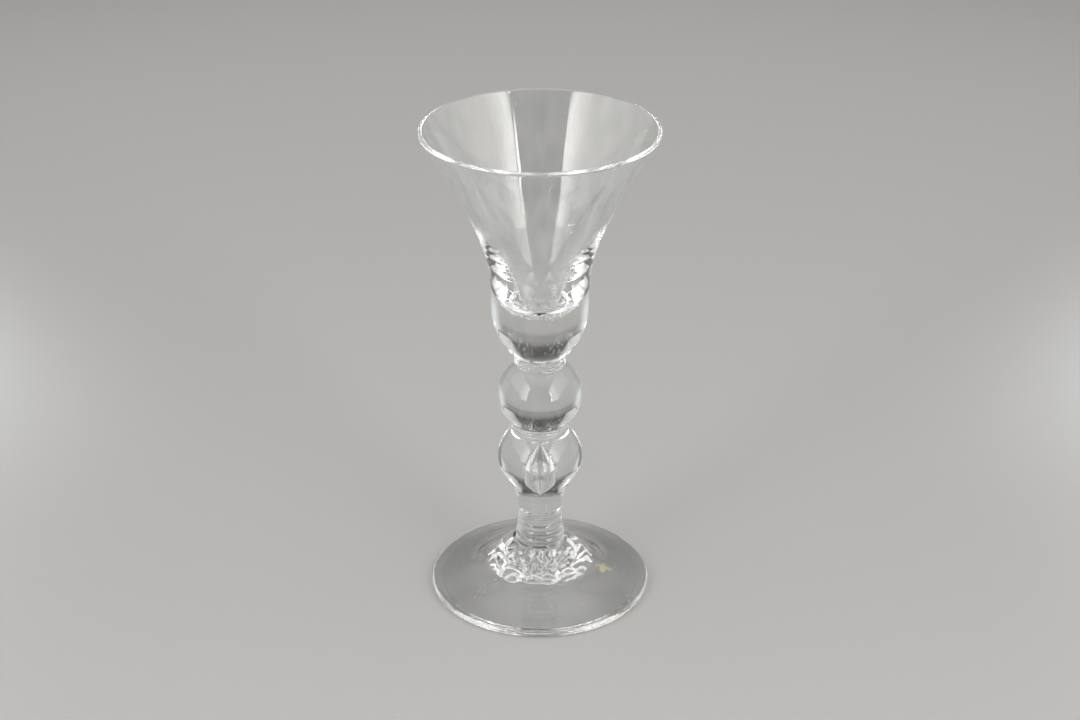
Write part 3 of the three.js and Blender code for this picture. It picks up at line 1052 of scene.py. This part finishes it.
def light_wall(name, x, ends, radiance):
    """An upright glowing sheet across the X axis, between two ends along Y."""
    verts, glow = [], []
    for y in np.linspace(*ends, WALL_STEPS + 1):
        for z in np.linspace(wall_foot(y), WALL_TOP, WALL_STEPS + 1):
            verts.append((x, y, z))
            glow.append(radiance * wall_glow(y, z))
    row = WALL_STEPS + 1
    corners = (0, 1, row + 1, row)
    starts = [i * row + j for i in range(WALL_STEPS) for j in range(WALL_STEPS)]
    wall = mesh_object(name, verts, [[start + corner for corner in corners] for start in starts])
    wall.data.attributes.new(GLOW, "FLOAT", "POINT").data.foreach_set("value", glow)
    wall.data.materials.append(soft_light)
    print(f"{name}: {ends[1] - ends[0]:.2f} m long")


for name, x in (("left_light", -WALL_AWAY), ("right_light", WALL_AWAY)):
    light_wall(name, x, (WALL_FRONT, WALL_BACK), WALL_RADIANCE)

# %% A bright slit beside the right wall's front edge
SLIT_GAP = 0.07
SLIT_WIDTH = 0.12
SLIT_RADIANCE = 14
slit_end = WALL_FRONT - SLIT_GAP
light_wall("edge_light", WALL_AWAY, (slit_end - SLIT_WIDTH, slit_end), SLIT_RADIANCE)

# %% A dim ceiling
HORIZON_TONE = 0.05
CEILING_TONE = 1
CEILING_FROM, CEILING_TO = 0.68, 0.93  # the z of a direction where the ceiling begins, and where it is full
CEILING_WHITE = (1, 0.99, 0.97, 1)
world = bpy.data.worlds.new("studio")
world.use_nodes = True
bpy.context.scene.world = world
tree = world.node_tree
direction = add_node(tree, "TexCoord").outputs["Generated"]
upward = set_inputs(add_node(tree, "SeparateXYZ"), Vector=direction).outputs["Z"]
ceiling = eased(tree, upward, CEILING_FROM, CEILING_TO, HORIZON_TONE, CEILING_TONE)
set_inputs(tree.nodes["Background"], Color=CEILING_WHITE, Strength=ceiling)
print("ceiling starts", round(math.degrees(math.asin(CEILING_FROM))), "degrees up")

# %% [markdown]
# ## Camera
# The photograph looks down on the glass from the front. The ellipses of the lip and the foot give its slant,
# and the way that sizes shrink with distance gives its place. It could be set by eye in the viewport, but
# fitted numbers are exact. Glass also needs many bounces: light can be bent and mirrored dozens of times in
# the stem before it gets out, and a path that is cut short leaves a black spot.

# %% Set the camera
PHOTO_WIDTH = 1080
FOCAL_LENGTH_PX = 2068.3
CAMERA_BACK = 0.5869
CAMERA_HEIGHT = 0.379
CAMERA_DOWN = math.radians(26.86)
SENSOR_WIDTH = 36  # mm
NEAREST_SEEN = 10 * MM
BOUNCES = 128
camera_data = bpy.data.cameras.new("camera")
camera_data.sensor_width = SENSOR_WIDTH
camera_data.lens = FOCAL_LENGTH_PX / PHOTO_WIDTH * SENSOR_WIDTH
camera_data.clip_start = NEAREST_SEEN
camera = bpy.data.objects.new("camera", camera_data)
camera.location = (0, -CAMERA_BACK, CAMERA_HEIGHT)
camera.rotation_euler = (math.pi / 2 - CAMERA_DOWN, 0, 0)
scene = bpy.context.scene
scene.collection.objects.link(camera)
scene.camera = camera
scene.view_settings.view_transform = "Standard"
for kind in ("max_bounces", "transmission_bounces", "glossy_bounces", "transparent_max_bounces"):
    setattr(scene.cycles, kind, BOUNCES)
print("lens, mm:", round(camera_data.lens, 2))
